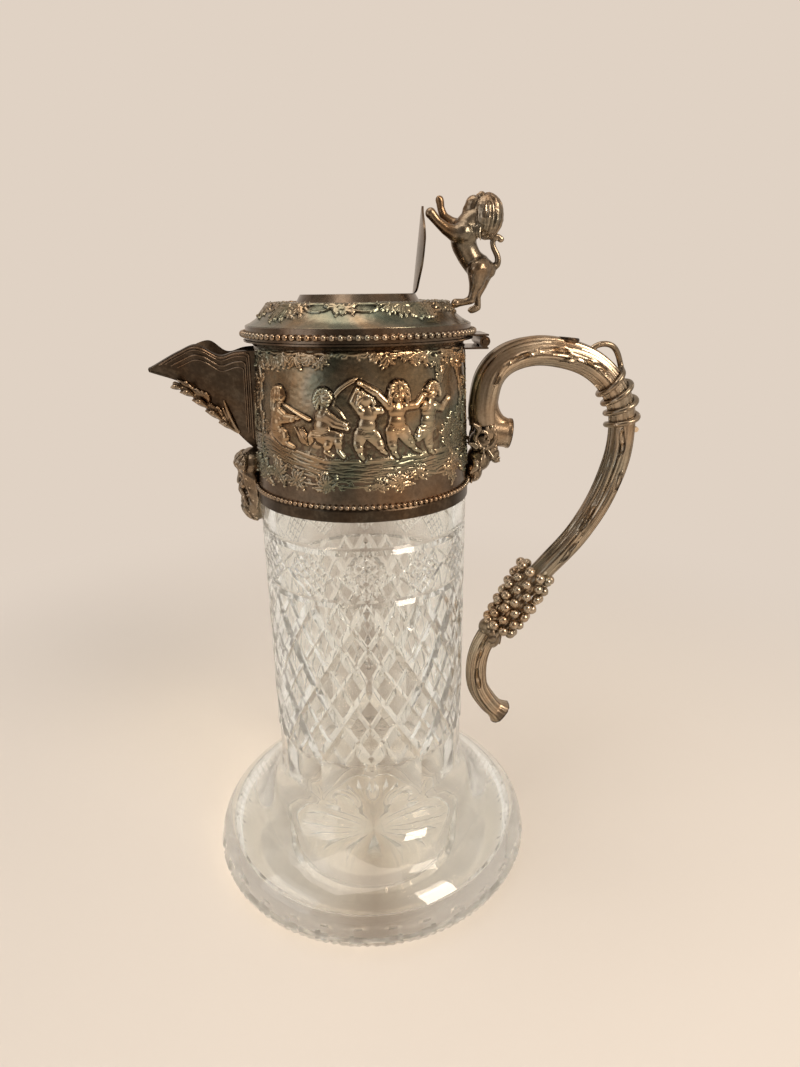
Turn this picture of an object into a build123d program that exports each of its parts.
"""Claret jug: a cut-glass body with a silver-plated collar, spout, vine handle and a lid hinged at the handle.

Millimetres. Z is up and the origin is the centre of the flat glass base on the table.
The spout points to -X and the handle to +X, so the XZ plane is the plane of symmetry.
"""
from build123d import *
from math import cos, pi, radians, sin, sqrt
import os

# ---------------------------------------------------------------- driving dimensions
# Glass
foot_radius = 73.5           # widest circle of the spreading foot
foot_height = 10.0           # height of that widest circle
rest_radius = 57.0           # edge of the ground flat that stands on the table
base_thickness = 9.0
foot_wall = 8.0              # wall at the widest circle
shoulder_radius = 55.0       # where the foot's dome turns up into the neck
shoulder_height = 30.0
neck_start_height = 48.5     # where the neck becomes straight
neck_radius = 42.5
neck_wall = 5.0
panel_count = 12             # flat panels under the cut diamonds
panel_top_height = 69.4
ring_heights = (69.4, 144.3, 165.5)   # mitre rings round the neck
ring_depth = 0.9
mitre_depth = 0.85           # broad diagonal cuts, where they cross
mitre_slope = 1.4            # half width of a cut for each millimetre of depth
mitre_rows = 4               # stretches of a cut between the two lower rings
mitre_overrun = 0.4          # how far a stretch runs past each crossing
star_rays = 16
star_inner_radius = 8.0
star_outer_radius = 37.0
star_depth = 1.8
star_ray_start = 0.15        # depth at the inner end of each ray
star_ring_radius = 44.5
rim_notches = 32
rim_notch_depth = 1.3
rim_notch_height = 5.2

# Collar
collar_seat_height = 177.3   # shoulder of the glass that the mount stands on
glass_lip_height = 18.0      # glass that stands up inside the mount
glass_lip_radius = 40.3
collar_bottom_radius = 42.8
collar_top_radius = 40.4
collar_height = 59.7         # from the seat to the top rim
collar_sheet = 0.9
foot_band_height = 4.9
small_bead_diameter = 1.3
top_rim_height = 2.2
top_rim_radius = 44.0
foot_band_stand = 0.4        # how far the foot band stands out from the wall

# Spout
spout_sheet = 1.1
spout_tip_x = -82.0
spout_tip_height = 227.4
spout_peak_x = -60.3
spout_peak_height = 237.6
spout_peak_half_width = 11.3
spout_dip_x = -52.8
spout_dip_height = 233.6
spout_dip_half_width = 9.4
spout_root_height = 235.5
spout_root_half_width = 12.6
spout_keel_root_height = 194.2
mouth_bottom_height = 202.0
mouth_top_height = 231.0
mouth_half_width = 9.0

# Lid
lid_band_radius = 43.1
lid_band_height = 4.7
lid_sheet = 0.9
large_bead_diameter = 2.3
shoulder_ring_radius = 34.3  # edge between the cove and the flat ring of the lid
cove_height = 7.5
disc_base_radius = 23.5
disc_top_radius = 21.9
disc_height = 2.7
bezel_depth = 4.8
bezel_sheet = 0.8

# Hinge
hinge_x = 47.6
knuckle_radius = 2.0
pin_radius = 0.9
hinge_half_length = 10.65
centre_knuckle_half = 3.4
leaf_thickness = 0.65

# Handle
branch_radius_top = 6.2
branch_radius_bend = 5.6
branch_radius_low = 5.0
branch_radius_end = 4.6
stub_radius = 3.9
tendril_radius = 1.15
tendril_turns = 4.0
grape_radius = 2.35
grapes_per_row = 9
grape_rows = 7
bunch_core = 1.9             # stalk core that the grapes sit on, round the branch

# Finial
shield_thickness = 0.8
shield_half_width = 10.4
shield_height = 30.4
shield_foot_x = 21.0         # where its front stands on the disc
shield_lean = 6.4            # degrees that the shield's top leans towards the hinge
shield_bow = 1.4             # how far its middle stands in front of its edges
joint_fullness = 1.06        # a lion's joint against the limbs that meet in it

# Clearances
solder_gap = 0.02            # between pieces that are soldered or cemented together
running_gap = 0.05           # pin in its knuckles
knuckle_end_gap = 0.10       # between neighbouring knuckles
lid_gap = 0.20               # between the closed lid and the rim
bezel_gap = 0.35             # between the bezel and the collar's inside

# ---------------------------------------------------------------- derived places
collar_top_height = collar_seat_height + collar_height
glass_lip_top = collar_seat_height + glass_lip_height
foot_band_top = collar_seat_height + foot_band_height
foot_band_radius = collar_bottom_radius + foot_band_stand
rim_top_height = collar_top_height + top_rim_height
lid_base_height = rim_top_height + lid_gap
lid_band_top = lid_base_height + lid_band_height
shoulder_ring_height = lid_band_top + cove_height
disc_base_height = shoulder_ring_height + 0.5
disc_top_height = disc_base_height + disc_height
large_bead_height = lid_base_height + leaf_thickness + large_bead_diameter / 2 + 0.1
small_bead_height = foot_band_top + small_bead_diameter / 2 + solder_gap
hinge_height = lid_base_height - knuckle_radius - running_gap


def collar_radius(height):
    """Outer radius of the tapered collar at a height."""
    share = (height - collar_seat_height) / collar_height
    return collar_bottom_radius + (collar_top_radius - collar_bottom_radius) * share


def round_solid(centre, radii, lean=0.0):
    """An ellipsoid, leaned about the Y axis, made outside the part it is added to."""
    ball = scale(Sphere(1, mode=Mode.PRIVATE), by=radii, mode=Mode.PRIVATE)
    return Location(centre, (0, lean, 0)) * ball


def section_planes(points):
    """Planes across a path of points, each square to the path's direction there."""
    path = Edge.make_spline([Vector(*point) for point in points])
    planes = []
    for point in points:
        share = path.param_at_point(Vector(*point))
        planes.append(Plane(origin=point, x_dir=(0, 1, 0), z_dir=path.tangent_at(share)))
    return planes


def limb(points, radii):
    """A tapering limb: straight cones between its joints, with a slightly fuller ball at each joint."""
    for start, end, start_radius, end_radius in zip(points, points[1:], radii, radii[1:]):
        along = Vector(*end) - Vector(*start)
        with Locations(Plane(origin=start, z_dir=along)):
            Cone(start_radius, end_radius, along.length, align=(Align.CENTER, Align.CENTER, Align.MIN))
    for point, radius in zip(points, radii):
        with Locations(point):
            Sphere(radius * joint_fullness)


def save(piece, name):
    """Label a finished piece and write it to its own file."""
    piece.label = name
    export_step(piece, f"parts/{name}.step")


os.makedirs("parts", exist_ok=True)

# ---------------------------------------------------------------- glass body
# One straight stretch of a mitre cut, from a crossing to the next one up and round
mitre_turn = 180 / panel_count
mitre_step = (ring_heights[1] - ring_heights[0]) / mitre_rows
mitre_radius = neck_radius - mitre_depth
mitre_reach = mitre_depth + 1.4
mitre_end = Vector(mitre_radius, 0, mitre_step).rotate(Axis.Z, mitre_turn)
mitre_run = mitre_end - Vector(mitre_radius, 0, 0)
mitre_along = mitre_run.normalized()
mitre_outward = Vector(1, 0, 0).rotate(Axis.Z, mitre_turn / 2)
mitre_start = Vector(mitre_radius, 0, 0) - mitre_along * mitre_overrun
with BuildPart() as mitre_wedge:
    with BuildSketch(Plane(origin=mitre_start, x_dir=mitre_outward.cross(mitre_along), z_dir=mitre_along)):
        with BuildLine():
            Polyline((0, 0), (mitre_slope * mitre_reach, mitre_reach),
                     (-mitre_slope * mitre_reach, mitre_reach), close=True)
        make_face()
    extrude(amount=mitre_run.length + 2 * mitre_overrun)
mitre_places = [
    Location((0, 0, ring_heights[0] + row * mitre_step), (0, 0, -90 + mitre_turn * (2 * panel + row % 2)))
    for row in range(mitre_rows)
    for panel in range(panel_count)
]

dome_points = ((foot_radius - 2.1, foot_height + 7.6), (foot_radius - 8.5, foot_height + 14.6))
with BuildPart() as glass_body:
    with BuildSketch(Plane.XZ):
        with BuildLine():
            Line((0, 0), (rest_radius, 0))
            EllipticalCenterArc((rest_radius, foot_height), foot_radius - rest_radius, foot_height,
                                start_angle=270, arc_size=90)
            Spline(
                (foot_radius, foot_height),
                *dome_points,
                (shoulder_radius, shoulder_height),
                (neck_radius, neck_start_height),
                tangents=((0, 1), (0, 1)),
            )
            Polyline(
                (neck_radius, neck_start_height),
                (neck_radius, collar_seat_height),
                (glass_lip_radius, collar_seat_height),
                (glass_lip_radius, glass_lip_top),
                (0, glass_lip_top),
                (0, 0),
            )
        make_face()
    revolve(axis=Axis.Z)
    # The hollow follows the outside, a wall's thickness in
    with BuildSketch(Plane.XZ):
        with BuildLine():
            Line((0, base_thickness), (rest_radius - foot_wall, base_thickness))
            ThreePointArc(
                (rest_radius - foot_wall, base_thickness),
                (foot_radius - foot_wall - 3.2, base_thickness + 2.6),
                (foot_radius - foot_wall, foot_height + 5.0),
            )
            Spline(
                (foot_radius - foot_wall, foot_height + 5.0),
                (shoulder_radius - 3.0, shoulder_height - 6.0),
                (neck_radius - neck_wall, neck_start_height),
                tangents=((0, 1), (0, 1)),
            )
            Polyline(
                (neck_radius - neck_wall, neck_start_height),
                (neck_radius - neck_wall, glass_lip_top),
                (0, glass_lip_top),
                (0, base_thickness),
            )
        make_face()
    revolve(axis=Axis.Z, mode=Mode.SUBTRACT)
    # Mitre rings round the neck
    for height in ring_heights:
        with BuildSketch(Plane.XZ):
            with BuildLine():
                Polyline(
                    (neck_radius + 1, height - ring_depth - 1),
                    (neck_radius - ring_depth, height),
                    (neck_radius + 1, height + ring_depth + 1),
                    close=True,
                )
            make_face()
        revolve(axis=Axis.Z, mode=Mode.SUBTRACT)
    # Flat panels under the lowest ring, ground with the corners left at full radius
    with BuildSketch(Plane.XY.offset(neck_start_height)):
        Circle(neck_radius + 2)
        RegularPolygon(neck_radius, panel_count, rotation=-90, mode=Mode.SUBTRACT)
    extrude(amount=panel_top_height - ring_depth - neck_start_height, mode=Mode.SUBTRACT)
    # Broad mitre cuts that cross in two rows of diamonds
    with Locations(*mitre_places):
        add(mitre_wedge.part, mode=Mode.SUBTRACT)
        add(mitre_wedge.part.mirror(Plane.XZ), mode=Mode.SUBTRACT)
    # Star under the base: mitre cuts that run in and out of the glass
    for ray in range(star_rays):
        angle = radians(360 / star_rays * ray)
        across = Plane(origin=(0, 0, 0), x_dir=(-sin(angle), cos(angle), 0), z_dir=(cos(angle), sin(angle), 0))
        for radius, depth in ((star_inner_radius, star_ray_start), (star_outer_radius, star_depth)):
            with BuildSketch(across.offset(radius)):
                with BuildLine():
                    Polyline((-depth, -0.1), (depth, -0.1), (0, depth), close=True)
                make_face()
        loft(ruled=True, mode=Mode.SUBTRACT)
    with BuildSketch(Plane.XZ):
        with Locations((star_ring_radius, 0)):
            Rectangle(1.6, 1.6, rotation=45)
    revolve(axis=Axis.Z, mode=Mode.SUBTRACT)
    # Notches round the widest edge of the foot
    with BuildSketch(Plane.XY.offset(foot_height - rim_notch_height)):
        with PolarLocations(foot_radius, rim_notches, start_angle=180 / rim_notches):
            Rectangle(2 * rim_notch_depth, 2 * rim_notch_depth, rotation=45)
    extrude(amount=rim_notch_height, mode=Mode.SUBTRACT)
save(glass_body.part, "glass_body")

# ---------------------------------------------------------------- collar
with BuildPart() as collar_envelope:
    # Space taken by the collar and its foot band, which every casting is fitted against
    with BuildSketch(Plane.XZ):
        with BuildLine():
            Polyline(
                (0, collar_seat_height - 20),
                (neck_radius + 0.3, collar_seat_height - 20),
                (neck_radius + 0.3, collar_seat_height - 0.3),
                (foot_band_radius + solder_gap, collar_seat_height - 0.3),
                (foot_band_radius + solder_gap, foot_band_top),
                (collar_radius(foot_band_top) + small_bead_diameter + 0.1, foot_band_top),
                (collar_radius(foot_band_top) + small_bead_diameter + 0.1, foot_band_top + small_bead_diameter + 0.1),
                (collar_radius(foot_band_top) + solder_gap, foot_band_top + small_bead_diameter + 0.1),
                (collar_radius(collar_top_height) + solder_gap, collar_top_height),
                (top_rim_radius + solder_gap, rim_top_height),
                (0, rim_top_height),
                close=True,
            )
        make_face()
    revolve(axis=Axis.Z)

with BuildPart() as plaster_bed:
    with BuildSketch(Plane.XY.offset(collar_seat_height + 0.5)):
        Circle(collar_radius(glass_lip_top) - collar_sheet - solder_gap)
        Circle(glass_lip_radius + solder_gap, mode=Mode.SUBTRACT)
    extrude(amount=glass_lip_height - 1.0)
save(plaster_bed.part, "plaster_bed")

with BuildPart() as collar_foot_band:
    with BuildSketch(Plane.XZ):
        with BuildLine():
            inner = collar_radius(foot_band_top) - collar_sheet
            Polyline(
                (inner, collar_seat_height + solder_gap),
                (foot_band_radius, collar_seat_height + solder_gap),
                (foot_band_radius, foot_band_top - 1.0),
                (collar_radius(foot_band_top), foot_band_top),
                (inner, foot_band_top),
                close=True,
            )
        make_face()
    revolve(axis=Axis.Z)
save(collar_foot_band.part, "collar_foot_band")

with BuildPart() as collar_bead_wire:
    with Locations((0, 0, small_bead_height)):
        Torus(collar_radius(foot_band_top) + small_bead_diameter / 2 + solder_gap, small_bead_diameter / 2)
save(collar_bead_wire.part, "collar_bead_wire")

with BuildPart() as collar_wall:
    with BuildSketch(Plane.XZ):
        with BuildLine():
            Polyline(
                (collar_radius(foot_band_top) - collar_sheet, foot_band_top),
                (collar_radius(foot_band_top), foot_band_top),
                (collar_radius(collar_top_height), collar_top_height),
                (collar_radius(collar_top_height) - collar_sheet, collar_top_height),
                close=True,
            )
        make_face()
    revolve(axis=Axis.Z)
    # Mouth through which the wine reaches the spout
    with BuildSketch(Plane.YZ.offset(-collar_bottom_radius - 1)):
        with BuildLine():
            Polyline(
                (0, mouth_bottom_height),
                (mouth_half_width, mouth_top_height),
                (-mouth_half_width, mouth_top_height),
                close=True,
            )
        make_face()
    extrude(amount=10, mode=Mode.SUBTRACT)
save(collar_wall.part, "collar_wall")

with BuildPart() as collar_top_rim:
    with BuildSketch(Plane.XZ):
        with BuildLine():
            rim_inner = collar_radius(collar_top_height) - collar_sheet
            rim_outer = collar_radius(collar_top_height)
            Polyline(
                (rim_outer, collar_top_height),
                (rim_inner, collar_top_height),
                (rim_inner, rim_top_height),
                (top_rim_radius, rim_top_height),
                (top_rim_radius, rim_top_height - 0.6),
            )
            ThreePointArc(
                (top_rim_radius, rim_top_height - 0.6),
                ((top_rim_radius + rim_outer) / 2 - 0.5, (rim_top_height + collar_top_height) / 2 + 0.1),
                (rim_outer, collar_top_height),
            )
        make_face()
    revolve(axis=Axis.Z)
save(collar_top_rim.part, "collar_top_rim")

# ---------------------------------------------------------------- spout
# Stations along the spout: place, half width and height of the rim, height of the keel
spout_stations = (
    (-37.0, spout_root_half_width + 1.6, spout_root_height, spout_keel_root_height - 4.0),
    (-46.2, 10.8, 235.1, 198.3),
    (spout_dip_x, spout_dip_half_width, spout_dip_height, 205.8),
    (spout_peak_x, spout_peak_half_width, spout_peak_height, 213.9),
    (-68.8, 7.0, 234.7, 222.1),
    (spout_tip_x, 0.9, spout_tip_height + 0.6, spout_tip_height - 0.4),
)


def spout_solid(inset, rise):
    """The V of the spout, drawn in by a wall's thickness and raised above the rim."""
    sketches = []
    for x, half_width, rim, keel in spout_stations:
        width = max(half_width - inset * 1.15, 0.25)
        lift = inset * sqrt(half_width ** 2 + (rim - keel) ** 2) / half_width
        floor = min(keel + lift, rim - 0.1)
        with BuildSketch(Plane.YZ.offset(x), mode=Mode.PRIVATE) as across:
            with BuildLine():
                Polyline((0, floor), (width, rim), (width, rim + rise),
                         (-width, rim + rise), (-width, rim), close=True)
            make_face()
        sketches.append(across.sketch)
    return loft(sections=sketches, ruled=True, mode=Mode.PRIVATE)


spout_outside = spout_solid(0, 0.3)
spout_hollow = spout_solid(spout_sheet, 2.0)
with BuildPart() as spout_shell:
    add(spout_outside)
    add(spout_hollow, mode=Mode.SUBTRACT)
    add(collar_envelope.part, mode=Mode.SUBTRACT)
save(spout_shell.part, "spout_shell")

# Cast vine and grapes along the keel, proud of both sides
ornament_lumps = (
    ((-69.8, 0, 222.4), (4.6, 2.4, 2.2), 25),
    ((-63.0, 0, 217.2), (5.0, 3.2, 2.6), 42),
    ((-57.0, 0, 211.4), (5.0, 3.8, 2.8), 48),
    ((-51.4, 0, 205.4), (4.6, 3.6, 2.6), 50),
)
with BuildPart() as spout_keel_ornament:
    for centre, radii, lean in ornament_lumps:
        add(round_solid(centre, radii, lean))
    add(spout_outside, mode=Mode.SUBTRACT)
    add(collar_envelope.part, mode=Mode.SUBTRACT)
save(spout_keel_ornament.part, "spout_keel_ornament")

# Bearded head under the spout: brow and hair, face, nose, beard
with BuildPart() as spout_mask:
    add(round_solid((-44.0, 0, 190.8), (7.2, 9.0, 6.6)))
    add(round_solid((-44.0, 0, 184.2), (7.0, 7.4, 9.0)))
    add(round_solid((-50.2, 0, 183.9), (1.9, 1.5, 2.9)))
    add(round_solid((-44.4, 0, 173.5), (6.6, 7.0, 8.4)))
    for side in (-1, 1):
        add(round_solid((-43.1, side * 6.6, 184.6), (3.6, 3.6, 8.6)))
    add(spout_outside, mode=Mode.SUBTRACT)
    add(spout_keel_ornament.part, mode=Mode.SUBTRACT)
    add(collar_envelope.part, mode=Mode.SUBTRACT)
save(spout_mask.part, "spout_mask")

# ---------------------------------------------------------------- handle
# The branch rises from the root, arches over, runs down the outside and hooks at the tip
branch_points = (
    (49.8, 0, 204.1), (49.3, 0, 211.7), (51.6, 0, 222.9), (58.2, 0, 229.9), (68.9, 0, 232.9),
    (80.2, 0, 231.9), (91.4, 0, 228.1), (100.2, 0, 221.1), (106.0, 0, 211.1), (107.5, 0, 200.2),
    (106.2, 0, 186.5), (100.8, 0, 170.4), (91.4, 0, 154.1), (80.0, 0, 140.5), (68.6, 0, 127.5),
    (58.8, 0, 113.9), (51.9, 0, 101.5), (49.8, 0, 90.8), (51.0, 0, 80.2), (56.4, 0, 70.8), (61.9, 0, 65.4),
)
bend_index, low_index = 8, 13


def branch_radius(index):
    """Radius of the branch at one of its points, thinning in three stretches."""
    last = len(branch_points) - 1
    if index <= bend_index:
        return branch_radius_top + (branch_radius_bend - branch_radius_top) * index / bend_index
    if index <= low_index:
        share = (index - bend_index) / (low_index - bend_index)
        return branch_radius_bend + (branch_radius_low - branch_radius_bend) * share
    share = (index - low_index) / (last - low_index)
    return branch_radius_low + (branch_radius_end - branch_radius_low) * share


branch_planes = section_planes(branch_points)
tip_plane = branch_planes[-1]
with BuildPart() as handle_branch:
    for index, plane in enumerate(branch_planes):
        with BuildSketch(plane):
            Circle(branch_radius(index))
    loft()
    # Flared, sawn-off tip
    with BuildSketch(tip_plane):
        Circle(branch_radius_end)
    with BuildSketch(tip_plane.offset(3.2)):
        Circle(branch_radius_end + 1.9)
    loft()
    # Pruned side shoot on top of the arch
    with BuildSketch(Plane(origin=(82.2, 0, 230.1), x_dir=(0, 1, 0), z_dir=(0.06, 0, 1))):
        Circle(stub_radius + 0.9)
    with BuildSketch(Plane(origin=(82.8, 0, 239.0), x_dir=(0, 1, 0), z_dir=(0.06, 0, 1))):
        Circle(stub_radius)
    loft()
    # Sawn end of the branch behind the mask at its root
    with BuildSketch(Plane.YZ.offset(49.7)):
        with Locations((0, 201.6)):
            Circle(branch_radius_top)
    with BuildSketch(Plane.YZ.offset(60.9)):
        with Locations((0, 199.9)):
            Ellipse(branch_radius_top - 0.4, branch_radius_top)
    loft()
    add(collar_envelope.part, mode=Mode.SUBTRACT)
save(handle_branch.part, "handle_branch")

# Ram's head and leaves that cover the joint of branch and collar
with BuildPart() as handle_root_mask:
    add(round_solid((47.9, 0, 202.5), (6.0, 7.6, 5.4)))
    add(round_solid((51.9, 0, 195.6), (6.2, 7.0, 6.6)))
    add(round_solid((49.2, 0, 188.9), (6.0, 6.4, 5.6), 20))
    add(round_solid((46.5, 0, 183.9), (3.6, 4.4, 4.4)))
    add(handle_branch.part, mode=Mode.SUBTRACT)
    add(collar_envelope.part, mode=Mode.SUBTRACT)
save(handle_root_mask.part, "handle_root_mask")

# Tendril: a loop that leaves the branch, then turns round it and ends on its near side
branch_path = Edge.make_spline([Vector(*point) for point in branch_points])
wrap_start = branch_path.param_at_point(Vector(*branch_points[7]))
wrap_end = branch_path.param_at_point(Vector(*branch_points[9]))
turn_steps = 8
tendril_points = [Vector(92.1, -1.0, 233.2), Vector(96.0, -1.0, 235.0), Vector(100.7, -0.6, 233.9)]
for step in range(int(tendril_turns * turn_steps) + 1):
    share = step / (tendril_turns * turn_steps)
    place = wrap_start + (wrap_end - wrap_start) * share
    centre = branch_path.position_at(place)
    along = branch_path.tangent_at(place)
    outward = along.cross(Vector(0, 1, 0))
    angle = 2 * pi * step / turn_steps
    reach = branch_radius_bend + 0.55 * tendril_radius + 0.25 * (1 - share)
    tendril_points.append(centre + outward * (reach * cos(angle)) + Vector(0, -1, 0) * (reach * sin(angle)))
with BuildPart() as handle_tendril:
    with BuildLine():
        coil = Spline(*tendril_points)
    with BuildSketch(Plane(origin=coil @ 0, z_dir=coil % 0)):
        Circle(tendril_radius)
    sweep()
    add(handle_branch.part, mode=Mode.SUBTRACT)
save(handle_tendril.part, "handle_tendril")

# Bunch of grapes round the branch: staggered rows on a tapering core
bunch_top = Vector(74.8, 0, 137.5)
bunch_bottom = Vector(60.2, 0, 112.2)
bunch_axis = (bunch_bottom - bunch_top).normalized()
bunch_length = (bunch_bottom - bunch_top).length
row_pitch = bunch_length / (grape_rows - 1)
bunch_plane = Plane(origin=bunch_top, x_dir=(0, 1, 0), z_dir=bunch_axis)


def bunch_radius(share):
    """Distance of the grapes' centres from the axis, fullest in the upper half."""
    return 6.7 + 1.2 * sin(pi * (0.25 + 0.75 * share))


with BuildPart() as grape_cluster:
    with BuildSketch(bunch_plane.offset(-1.5)):
        Circle(branch_radius_low + bunch_core)
    with BuildSketch(bunch_plane.offset(bunch_length + 1.5)):
        Circle(branch_radius_low + bunch_core)
    loft()
    for row in range(grape_rows):
        turn = 180 / grapes_per_row * (row % 2)
        with Locations(bunch_plane.offset(row * row_pitch)):
            with PolarLocations(bunch_radius(row / (grape_rows - 1)), grapes_per_row, start_angle=turn):
                Sphere(grape_radius)
    add(handle_branch.part, mode=Mode.SUBTRACT)
save(grape_cluster.part, "grape_cluster")

with BuildPart() as grape_leaf:
    add(round_solid((55.7, 0, 111.1), (6.4, 6.6, 6.8), 35))
    add(round_solid((56.8, -1.4, 105.0), (4.6, 4.6, 6.0), -10))
    add(handle_branch.part, mode=Mode.SUBTRACT)
    add(grape_cluster.part, mode=Mode.SUBTRACT)
save(grape_leaf.part, "grape_leaf")

# ---------------------------------------------------------------- hinge
leaf_seat_height = hinge_height - knuckle_radius - 0.15
leaf_outer_x = hinge_x + 1.4
knuckle_start = centre_knuckle_half + knuckle_end_gap


def knuckle(start, end):
    """A hinge barrel between two places along Y."""
    with BuildSketch(Plane(origin=(hinge_x, start, hinge_height), x_dir=(1, 0, 0), z_dir=(0, 1, 0))) as barrel:
        Circle(knuckle_radius)
    extrude(barrel.sketch, amount=end - start)


def bore(start, end):
    """The pin's hole through a barrel, a running fit on the pin."""
    with BuildSketch(Plane(origin=(hinge_x, start, hinge_height), x_dir=(1, 0, 0), z_dir=(0, 1, 0))) as hole:
        Circle(pin_radius + running_gap)
    extrude(hole.sketch, amount=end - start, mode=Mode.SUBTRACT)


with BuildPart() as hinge_collar_leaf:
    with BuildSketch(Plane.XY.offset(leaf_seat_height - leaf_thickness)):
        with BuildLine():
            Polyline((36, -hinge_half_length), (leaf_outer_x, -hinge_half_length),
                     (leaf_outer_x, hinge_half_length), (36, hinge_half_length), close=True)
        make_face()
        Circle(collar_radius(leaf_seat_height - leaf_thickness) + solder_gap, mode=Mode.SUBTRACT)
    extrude(amount=leaf_thickness)
    for side in (-1, 1):
        ends = sorted((side * knuckle_start, side * hinge_half_length))
        knuckle(*ends)
        with BuildSketch(Plane.XY.offset(leaf_seat_height - 0.1)):
            with Locations((hinge_x, sum(ends) / 2)):
                Rectangle(knuckle_radius, ends[1] - ends[0])
        extrude(amount=knuckle_radius - 0.1)
        bore(*ends)
save(hinge_collar_leaf.part, "hinge_collar_leaf")

with BuildPart() as hinge_lid_leaf:
    with BuildSketch(Plane.XY.offset(lid_base_height)):
        with BuildLine():
            Polyline((38, -hinge_half_length), (leaf_outer_x, -hinge_half_length),
                     (leaf_outer_x, hinge_half_length), (38, hinge_half_length), close=True)
        make_face()
        Circle(lid_band_radius + solder_gap, mode=Mode.SUBTRACT)
    extrude(amount=leaf_thickness)
    knuckle(-centre_knuckle_half, centre_knuckle_half)
    with BuildSketch(Plane.XY.offset(hinge_height + pin_radius + 0.3)):
        with Locations((hinge_x, 0)):
            Rectangle(knuckle_radius, 2 * centre_knuckle_half)
    extrude(amount=lid_base_height + leaf_thickness / 2 - hinge_height - pin_radius - 0.3)
    bore(-centre_knuckle_half, centre_knuckle_half)
save(hinge_lid_leaf.part, "hinge_lid_leaf")

with BuildPart() as hinge_pin:
    with BuildSketch(Plane(origin=(hinge_x, 0, hinge_height), x_dir=(1, 0, 0), z_dir=(0, 1, 0))):
        Circle(pin_radius)
    extrude(amount=hinge_half_length + solder_gap, both=True)
    # Peened heads outside the end knuckles
    for side in (-1, 1):
        with BuildSketch(Plane(origin=(hinge_x, side * (hinge_half_length + solder_gap), hinge_height),
                               x_dir=(1, 0, 0), z_dir=(0, side, 0))):
            Circle(pin_radius + 0.35)
        extrude(amount=0.5, taper=25)
save(hinge_pin.part, "hinge_pin")

# ---------------------------------------------------------------- lid
bezel_radius = collar_radius(collar_top_height) - collar_sheet - bezel_gap
with BuildPart() as lid_rim_band:
    with BuildSketch(Plane.XZ):
        with BuildLine():
            Polyline(
                (bezel_radius - bezel_sheet, lid_base_height),
                (lid_band_radius, lid_base_height),
                (lid_band_radius, lid_band_top),
                (lid_band_radius - lid_sheet, lid_band_top),
                (lid_band_radius - lid_sheet, lid_base_height + lid_sheet),
                (bezel_radius - bezel_sheet, lid_base_height + lid_sheet),
                close=True,
            )
        make_face()
    revolve(axis=Axis.Z)
save(lid_rim_band.part, "lid_rim_band")

with BuildPart() as lid_bead_wire:
    with Locations((0, 0, large_bead_height)):
        Torus(lid_band_radius + large_bead_diameter / 2 + solder_gap, large_bead_diameter / 2)
save(lid_bead_wire.part, "lid_bead_wire")

with BuildPart() as lid_inner_bezel:
    with BuildSketch(Plane.XY.offset(lid_base_height - bezel_depth)):
        Circle(bezel_radius)
        Circle(bezel_radius - bezel_sheet, mode=Mode.SUBTRACT)
    extrude(amount=bezel_depth)
save(lid_inner_bezel.part, "lid_inner_bezel")

cove_mid = (lid_band_radius - 5.5, lid_band_top + 3.4)
disc_seat = disc_base_radius - 2.5
with BuildPart() as lid_dome:
    with BuildSketch(Plane.XZ):
        with BuildLine():
            ThreePointArc((lid_band_radius, lid_band_top), cove_mid, (shoulder_ring_radius, shoulder_ring_height))
            Polyline(
                (shoulder_ring_radius, shoulder_ring_height),
                (disc_base_radius, disc_base_height),
                (disc_seat, disc_base_height),
                (disc_seat, disc_base_height - lid_sheet),
                (disc_base_radius, disc_base_height - lid_sheet),
                (shoulder_ring_radius - 0.6 * lid_sheet, shoulder_ring_height - lid_sheet),
            )
            ThreePointArc(
                (shoulder_ring_radius - 0.6 * lid_sheet, shoulder_ring_height - lid_sheet),
                (cove_mid[0] - 0.7 * lid_sheet, cove_mid[1] - 0.7 * lid_sheet),
                (lid_band_radius - lid_sheet, lid_band_top),
            )
            Line((lid_band_radius - lid_sheet, lid_band_top), (lid_band_radius, lid_band_top))
        make_face()
    revolve(axis=Axis.Z)
save(lid_dome.part, "lid_dome")

with BuildPart() as lid_top_disc:
    with BuildSketch(Plane.XZ):
        with BuildLine():
            Polyline(
                (disc_base_radius, disc_base_height + solder_gap),
                (disc_top_radius, disc_top_height),
                (0, disc_top_height),
                (0, disc_top_height - lid_sheet),
                (disc_top_radius - lid_sheet, disc_top_height - lid_sheet),
                (disc_base_radius - 1.2 * lid_sheet, disc_base_height + solder_gap),
                close=True,
            )
        make_face()
    revolve(axis=Axis.Z)
save(lid_top_disc.part, "lid_top_disc")

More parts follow.
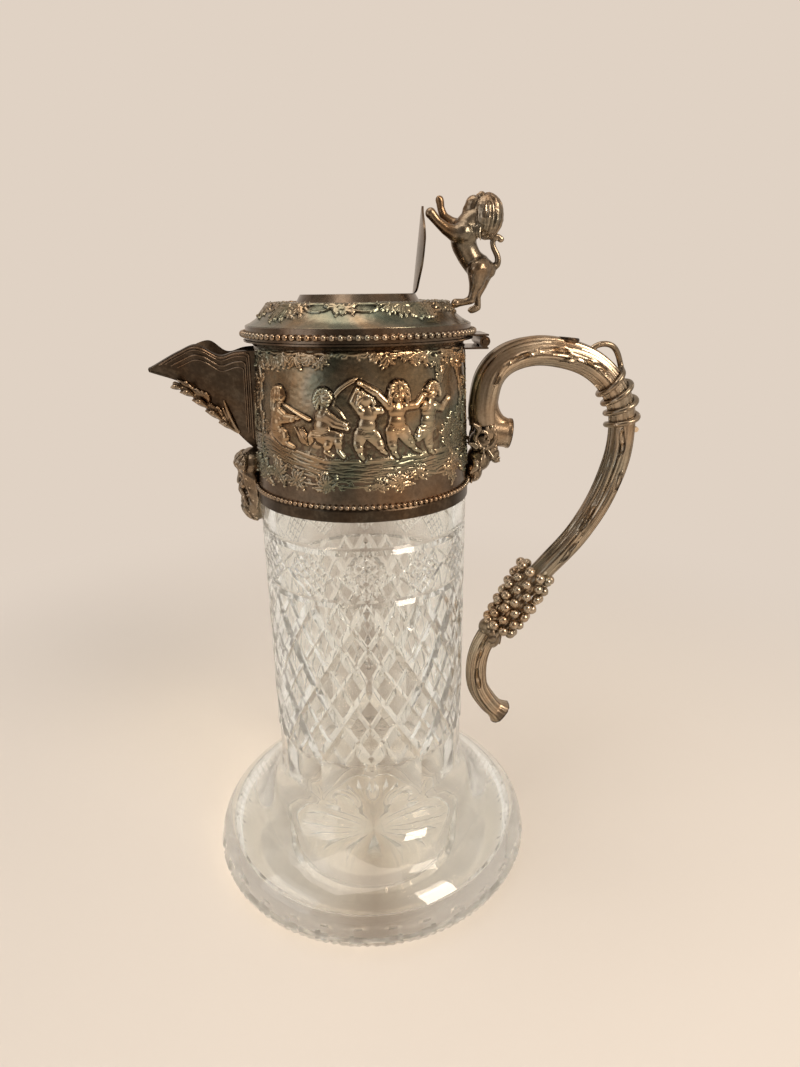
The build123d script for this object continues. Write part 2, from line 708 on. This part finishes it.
# Shield: a bowed oval plate that stands on the disc and leans back to the lion's paw
shield_bend = (shield_half_width ** 2 + shield_bow ** 2) / (2 * shield_bow)
shield_plane = Plane(
    origin=(shield_foot_x, 0, disc_top_height + solder_gap),
    x_dir=(cos(radians(shield_lean)), 0, -sin(radians(shield_lean))),
    z_dir=(sin(radians(shield_lean)), 0, cos(radians(shield_lean))),
)
shield_face = Plane(origin=shield_plane.origin, x_dir=(0, 1, 0), z_dir=shield_plane.x_dir)
with BuildPart() as shield:
    with BuildSketch(shield_plane):
        with Locations((shield_bend, 0)):
            Circle(shield_bend)
            Circle(shield_bend - shield_thickness, mode=Mode.SUBTRACT)
        with Locations((0, 0)):
            Rectangle(3 * shield_bow, 4 * shield_half_width, mode=Mode.INTERSECT)
    extrude(amount=shield_height)
    with BuildSketch(shield_face.offset(-5)):
        with BuildLine():
            Spline(
                (2.0, 0.1), (0.72 * shield_half_width, 0.12 * shield_height),
                (shield_half_width, 0.40 * shield_height), (0.80 * shield_half_width, 0.74 * shield_height),
                (0, shield_height),
                tangents=((1, 0.1), (-1, 0.9)),
            )
            Spline(
                (0, shield_height), (-0.80 * shield_half_width, 0.74 * shield_height),
                (-shield_half_width, 0.40 * shield_height), (-0.72 * shield_half_width, 0.12 * shield_height),
                (-2.0, 0.1),
                tangents=((-1, -0.9), (1, -0.1)),
            )
            Line((-2.0, 0.1), (2.0, 0.1))
        make_face()
    extrude(amount=20, mode=Mode.INTERSECT)
save(shield.part, "shield")

# Lion rampant: its toes stand on the lid's edge and one paw holds the shield
lion_limbs = (
    # near foreleg, paw on the shield
    (((37.4, -2.6, 275.0), (33.2, -3.2, 276.8), (29.6, -3.4, 279.8), (27.2, -3.3, 282.2)), (3.3, 2.5, 2.0, 2.1)),
    # far foreleg, raised
    (((37.6, 2.6, 277.6), (33.9, 3.4, 280.4), (32.1, 3.6, 283.6), (31.3, 3.6, 286.9)), (2.6, 2.0, 1.5, 1.8)),
    # near hind leg, then its foot
    (((45.4, -2.4, 262.2), (45.0, -2.8, 258.2), (43.6, -2.8, 254.6), (43.2, -2.6, 252.4)), (4.8, 3.4, 2.1, 1.8)),
    (((43.2, -2.6, 251.8), (40.6, -2.5, 251.1), (37.6, -2.3, 250.9)), (1.9, 1.6, 1.8)),
    # far hind leg, then its hanging foot
    (((48.9, 2.4, 261.0), (47.4, 2.8, 257.2), (46.2, 2.8, 253.5), (46.6, 2.6, 250.1)), (4.0, 2.5, 1.5, 1.35)),
    (((46.6, 2.6, 249.3), (45.4, 2.5, 248.5), (44.0, 2.4, 248.5)), (1.5, 1.6, 1.3)),
    # tail
    (((51.2, 0, 263.6), (53.5, 0, 265.2), (53.0, 0, 268.4), (51.2, 0, 271.6), (51.6, 0, 274.2), (53.4, 0, 274.4),
      (54.6, 0, 273.0)), (1.5, 1.3, 1.2, 1.15, 1.1, 1.05, 1.4)),
)
lion_balls = (
    ((43.6, 0.05, 286.3), 2.9), ((46.3, 0.1, 285.5), 4.2), ((48.3, 0, 282.6), 5.6),      # mane
    ((48.9, 0.1, 279.2), 4.9), ((48.0, 0.05, 275.7), 2.7),
    ((43.4, 0, 284.3), 3.5), ((41.2, 0.05, 283.4), 1.9),                                 # head and muzzle
    ((42.8, 0.1, 279.4), 4.6), ((39.7, 0, 275.6), 5.4), ((39.6, 0.1, 272.6), 5.0),       # neck and chest
    ((40.8, 0, 270.2), 4.6), ((42.4, 0.1, 267.0), 4.3),                                  # waist
    ((46.2, 0, 264.0), 5.2), ((49.6, 0.05, 263.0), 4.6),                                 # rump
    ((36.2, -2.3, 250.0), 2.2),                                                          # sole against the lid
)
with BuildPart() as lid_envelope:
    with BuildSketch(Plane.XZ):
        with BuildLine():
            ThreePointArc(
                (lid_band_radius + solder_gap, lid_band_top),
                (cove_mid[0] + solder_gap, cove_mid[1] + solder_gap),
                (shoulder_ring_radius, shoulder_ring_height + solder_gap),
            )
            Polyline((shoulder_ring_radius, shoulder_ring_height + solder_gap), (0, disc_base_height),
                     (0, lid_band_top), (lid_band_radius + solder_gap, lid_band_top))
        make_face()
    revolve(axis=Axis.Z)
with BuildPart() as lion_finial:
    for centre, radius in lion_balls:
        with Locations(centre):
            Sphere(radius)
    for points, radii in lion_limbs:
        limb(points, radii)
    add(shield.part, mode=Mode.SUBTRACT)
    add(lid_envelope.part, mode=Mode.SUBTRACT)
save(lion_finial.part, "lion_finial")
